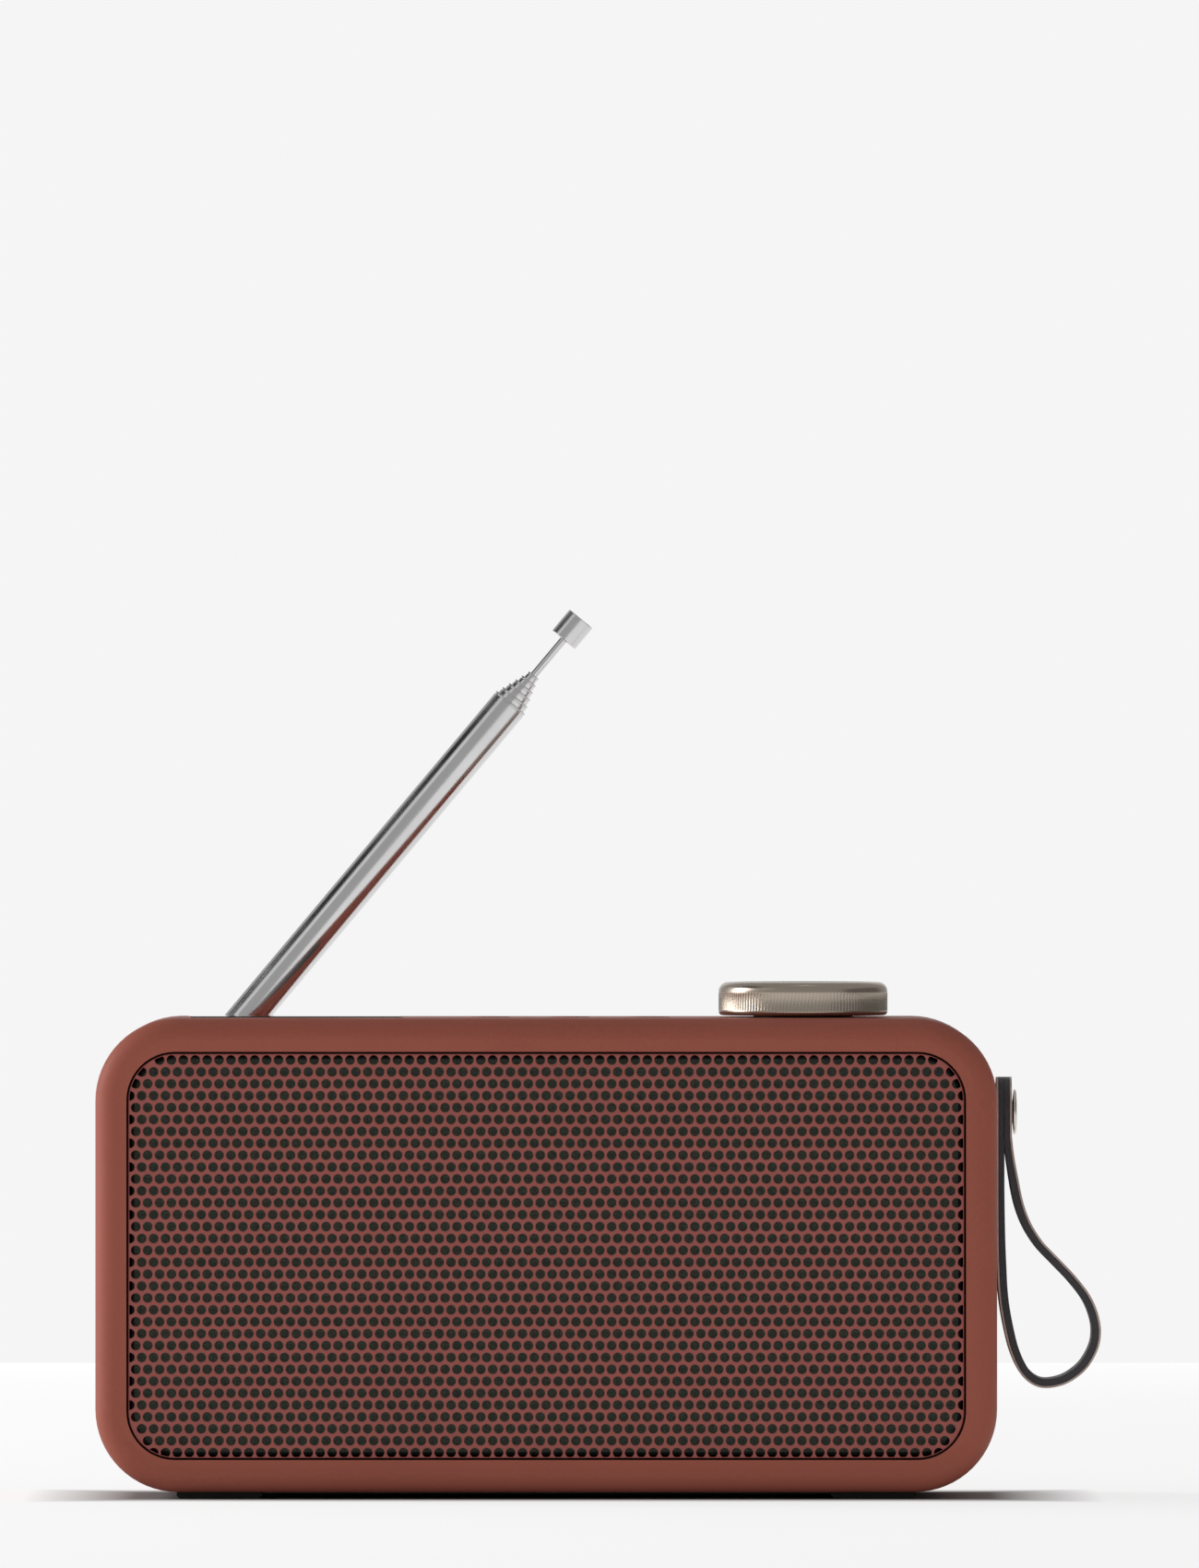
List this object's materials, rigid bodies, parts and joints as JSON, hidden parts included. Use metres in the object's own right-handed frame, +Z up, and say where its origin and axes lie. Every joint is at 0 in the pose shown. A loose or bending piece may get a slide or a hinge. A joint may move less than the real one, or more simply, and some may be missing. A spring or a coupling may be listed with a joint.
{
  "type": "portable radio",
  "caption": "Portable radio with a perforated front grille, a turning top knob, push buttons, a folding telescopic aerial and a leather wrist strap.",
  "frame": {"origin": "on the floor plane under the middle of the bounding box at rest", "axes": "+X to the right seen from the front, +Y from the front grille towards the rear cover, +Z up"},
  "size_m": [0.2346, 0.06, 0.2075],
  "materials": {
    "case_plastic": "soft-touch lacquer over moulded plastic",
    "cover_plastic": "soft-touch lacquer over moulded plastic",
    "button_plastic": "soft-touch moulded cap",
    "grille_metal": "painted perforated sheet",
    "grille_cloth": "open woven cloth",
    "baffle_board": "moulded, plain",
    "foam": "closed-cell foam",
    "basket_steel": "painted pressed steel",
    "magnet_ferrite": "bare ferrite",
    "surround_rubber": "moulded",
    "cone_paper": "pressed pulp",
    "screw_steel": "zinc plated",
    "cover_screw_steel": "blackened steel",
    "window_gloss": "polished dark window",
    "display_glass": "plain",
    "inner_plastic": "moulded, plain",
    "flex_film": "polyimide film",
    "board_laminate": "solder masked laminate",
    "knob_aluminium": "anodised, turned",
    "knob_plastic": "moulded, plain",
    "tin_can": "tinned",
    "cell_wrap": "shrink sleeve",
    "port_steel": "nickel plated",
    "port_plastic": "moulded, plain",
    "wire_sleeve": "flexible sleeve",
    "foot_rubber": "moulded",
    "antenna_chrome": "polished plating",
    "strap_leather": "dyed, cut edges",
    "strap_cap_metal": "satin plated dome",
    "boss_brass": "turned"
  },
  "bodies": {
    "case": {"housing": "case_plastic", "rear_cover": "cover_plastic", "rear_screws": "cover_screw_steel", "front_grille": "grille_metal", "grille_cloth": "grille_cloth", "baffle": "baffle_board", "baffle_gasket": "foam", "left_basket": "basket_steel", "right_basket": "basket_steel", "left_magnet": "magnet_ferrite", "right_magnet": "magnet_ferrite", "left_surround": "surround_rubber", "right_surround": "surround_rubber", "driver_screws": "screw_steel", "display_window": "window_gloss", "display_panel": "display_glass", "display_frame": "inner_plastic", "display_cable": "flex_film", "button_switches": "inner_plastic", "button_board": "board_laminate", "board_screws": "screw_steel", "encoder_body": "inner_plastic", "knob_board": "board_laminate", "main_board": "board_laminate", "tuner_can": "tin_can", "battery_tray": "inner_plastic", "battery_cells": "cell_wrap", "usb_port": "port_steel", "aux_jack": "port_plastic", "inner_wiring": "wire_sleeve", "antenna_lead": "wire_sleeve", "foot_front_left": "foot_rubber", "foot_front_right": "foot_rubber", "foot_rear_left": "foot_rubber", "foot_rear_right": "foot_rubber", "strap_screw": "strap_cap_metal", "strap_boss": "boss_brass"},
    "turret": {"antenna_turret": "antenna_chrome", "antenna_pin": "screw_steel", "antenna_screw": "screw_steel"},
    "mast": {"antenna_root": "antenna_chrome", "antenna_tube": "antenna_chrome"},
    "section_1": {"antenna_section_1": "antenna_chrome"},
    "section_2": {"antenna_section_2": "antenna_chrome"},
    "section_3": {"antenna_section_3": "antenna_chrome"},
    "section_4": {"antenna_section_4": "antenna_chrome"},
    "section_5": {"antenna_section_5": "antenna_chrome"},
    "rod": {"antenna_rod": "antenna_chrome"},
    "knob_carrier": {"knob_plunger": "inner_plastic"},
    "knob": {"knob_cap": "knob_aluminium", "knob_hub": "knob_plastic", "knob_shaft": "screw_steel"},
    "left_button": {"button_left": "button_plastic"},
    "middle_button": {"button_middle": "button_plastic"},
    "right_button": {"button_right": "button_plastic"},
    "left_driver": {"left_cone": "cone_paper", "left_dust_cap": "cone_paper"},
    "right_driver": {"right_cone": "cone_paper", "right_dust_cap": "cone_paper"},
    "strap": {"wrist_strap": "strap_leather"}
  },
  "joints": [
    {"name": "antenna_swivel", "type": "hinge", "parent": "case", "child": "turret", "pos_m": [-0.088, 0.0249, 0.1055], "axis": [0, 1, 0], "range_deg": [-60, 50]},
    {"name": "antenna_tilt", "type": "hinge", "parent": "turret", "child": "mast", "pos_m": [-0.088, 0.0249, 0.1055], "axis": [-0.766, 0, 0.6428], "range_deg": [0, 90]},
    {"name": "section_1_slide", "type": "slide", "parent": "mast", "child": "section_1", "axis": [0.6428, 0, 0.766], "range_m": [0, 0.086]},
    {"name": "section_2_slide", "type": "slide", "parent": "section_1", "child": "section_2", "axis": [0.6428, 0, 0.766], "range_m": [0, 0.086]},
    {"name": "section_3_slide", "type": "slide", "parent": "section_2", "child": "section_3", "axis": [0.6428, 0, 0.766], "range_m": [0, 0.086]},
    {"name": "section_4_slide", "type": "slide", "parent": "section_3", "child": "section_4", "axis": [0.6428, 0, 0.766], "range_m": [0, 0.086]},
    {"name": "section_5_slide", "type": "slide", "parent": "section_4", "child": "section_5", "axis": [0.6428, 0, 0.766], "range_m": [0, 0.086]},
    {"name": "rod_slide", "type": "slide", "parent": "section_5", "child": "rod", "axis": [0.6428, 0, 0.766], "range_m": [-0.0106, 0.082]},
    {"name": "knob_press", "type": "slide", "parent": "case", "child": "knob_carrier", "axis": [0, 0, -1], "range_m": [0, 0.0004], "stiffness_N_per_m": 3000, "springref_m": -0.0004},
    {"name": "knob_turn", "type": "hinge", "parent": "knob_carrier", "child": "knob", "pos_m": [0.0477, -0.003, 0.116], "axis": [0, 0, 1], "continuous": true},
    {"name": "left_button_press", "type": "slide", "parent": "case", "child": "left_button", "axis": [0, 0, -1], "range_m": [0, 0.0005], "stiffness_N_per_m": 1500, "springref_m": -0.0003},
    {"name": "middle_button_press", "type": "slide", "parent": "case", "child": "middle_button", "axis": [0, 0, -1], "range_m": [0, 0.0005], "stiffness_N_per_m": 1500, "springref_m": -0.0003},
    {"name": "right_button_press", "type": "slide", "parent": "case", "child": "right_button", "axis": [0, 0, -1], "range_m": [0, 0.0005], "stiffness_N_per_m": 1500, "springref_m": -0.0003},
    {"name": "left_cone_travel", "type": "slide", "parent": "case", "child": "left_driver", "axis": [0, 1, 0], "range_m": [-0.002, 0.002], "stiffness_N_per_m": 600},
    {"name": "right_cone_travel", "type": "slide", "parent": "case", "child": "right_driver", "axis": [0, 1, 0], "range_m": [-0.002, 0.002], "stiffness_N_per_m": 600},
    {"name": "strap_swing", "type": "hinge", "parent": "case", "child": "strap", "pos_m": [0.0927, 0, 0.0898], "axis": [1, 0, 0], "range_deg": [-110, 110]}
  ]
}
